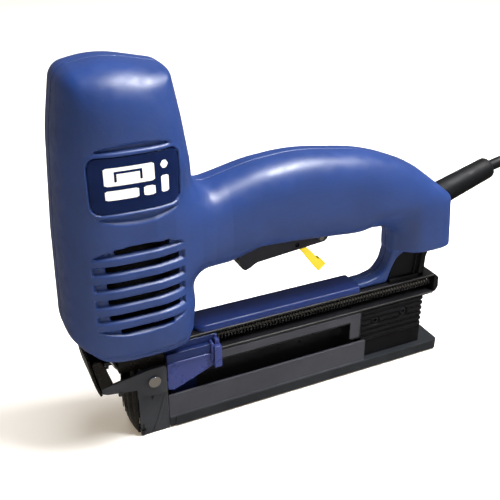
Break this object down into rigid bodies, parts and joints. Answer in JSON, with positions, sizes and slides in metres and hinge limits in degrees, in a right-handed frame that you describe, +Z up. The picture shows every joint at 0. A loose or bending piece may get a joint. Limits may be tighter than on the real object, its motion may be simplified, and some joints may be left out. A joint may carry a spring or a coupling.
{
  "type": "electric staple gun",
  "caption": "Corded electric staple gun with a hand loop, trigger with safety lever, fold-down nose latch and a loading tray that slides out at the rear.",
  "frame": {"origin": "on the surface the tool stands on, under the middle of its length and width", "axes": "+Z up; the nose points along -X and the cord leaves towards +X; the driver's axis is parallel to Z; Y = 0 is the parting plane of the housing"},
  "size_m": [0.494, 0.0796, 0.2133],
  "materials": {
    "blue_plastic": "fine grained satin",
    "pusher_blue": "smooth",
    "badge": "gloss",
    "zinc_steel": "zinc plated",
    "dark_steel": "blackened",
    "spring_steel": "drawn wire",
    "bright_spring": "bright strip",
    "black_plastic": "moulded",
    "chrome_steel": "polished",
    "black_steel": "blackened, fluted",
    "grey_foot": "moulded",
    "grey_steel": "painted sheet",
    "trigger_grey": "moulded",
    "yellow_plastic": "moulded",
    "bobbin_plastic": "moulded",
    "copper_enamel": "enamelled wire",
    "laminated_steel": "laminated",
    "blade_steel": "ground",
    "black_rubber": "moulded",
    "board_green": "printed board",
    "cord_rubber": "extruded",
    "tie_grey": "moulded strap"
  },
  "bodies": {
    "body": {"housing_left": "blue_plastic", "housing_right": "blue_plastic", "rail_cover": "blue_plastic", "badge_plate": "badge", "housing_screws": "zinc_steel", "magazine_rail": "dark_steel", "rail_end_cap": "black_plastic", "spring_rod": "zinc_steel", "pusher_spring": "spring_steel", "rear_bracket": "black_plastic", "nose_body": "dark_steel", "nose_side_plates": "dark_steel", "lever_rivet": "chrome_steel", "door_pins": "zinc_steel", "latch_spring": "bright_spring", "trigger_pin": "zinc_steel", "trigger_spring": "spring_steel", "trigger_switch": "black_plastic", "coil_bobbin": "bobbin_plastic", "coil_winding": "copper_enamel", "solenoid_frame": "laminated_steel", "bumper": "black_rubber", "return_spring": "spring_steel", "top_buffer": "black_rubber", "circuit_board": "board_green", "terminal_block": "bobbin_plastic", "internal_leads": "cord_rubber", "strain_relief": "cord_rubber", "mains_cord": "cord_rubber", "cord_coil": "cord_rubber", "cord_tie": "tie_grey", "mains_plug": "black_plastic"},
    "trigger": {"trigger": "trigger_grey", "safety_pin": "zinc_steel"},
    "safety_lever": {"safety_lever": "yellow_plastic"},
    "release_lever": {"release_lever": "dark_steel"},
    "nose_door": {"nose_door": "black_steel"},
    "tray": {"tray_foot": "grey_foot", "tray_channel": "grey_steel", "staple_core": "dark_steel", "grip_block": "black_plastic", "grip_screws": "dark_steel"},
    "pusher": {"pusher": "pusher_blue"},
    "driver": {"plunger": "laminated_steel", "driver_blade": "blade_steel", "blade_pin": "zinc_steel"}
  },
  "joints": [
    {"name": "trigger_pull", "type": "hinge", "parent": "body", "child": "trigger", "pos_m": [0.028, 0, 0.101], "axis": [0, 1, 0], "range_deg": [0, 5], "stiffness_Nm_per_rad": 0.5, "springref_deg": -2.86, "deforming": ["trigger_spring"]},
    {"name": "safety_swing", "type": "hinge", "parent": "trigger", "child": "safety_lever", "pos_m": [0.0133, 0, 0.0985], "axis": [0, 1, 0], "range_deg": [-30, 0], "stiffness_Nm_per_rad": 0.02, "springref_deg": 5.73},
    {"name": "lever_swing", "type": "hinge", "parent": "body", "child": "release_lever", "pos_m": [-0.078, 0, 0.0375], "axis": [0, 1, 0], "range_deg": [-40, 0]},
    {"name": "door_swing", "type": "hinge", "parent": "body", "child": "nose_door", "pos_m": [-0.086, 0, 0.004], "axis": [0, -1, 0], "range_deg": [0, 50]},
    {"name": "tray_slide", "type": "slide", "parent": "body", "child": "tray", "axis": [1, 0, 0], "range_m": [0, 0.072]},
    {"name": "pusher_slide", "type": "slide", "parent": "body", "child": "pusher", "axis": [1, 0, 0], "range_m": [0, 0.09], "stiffness_N_per_m": 60, "springref_m": -0.04, "deforming": ["pusher_spring"]},
    {"name": "driver_stroke", "type": "slide", "parent": "body", "child": "driver", "axis": [0, 0, 1], "range_m": [-0.026, 0], "stiffness_N_per_m": 400, "springref_m": 0.01, "deforming": ["return_spring"]}
  ]
}
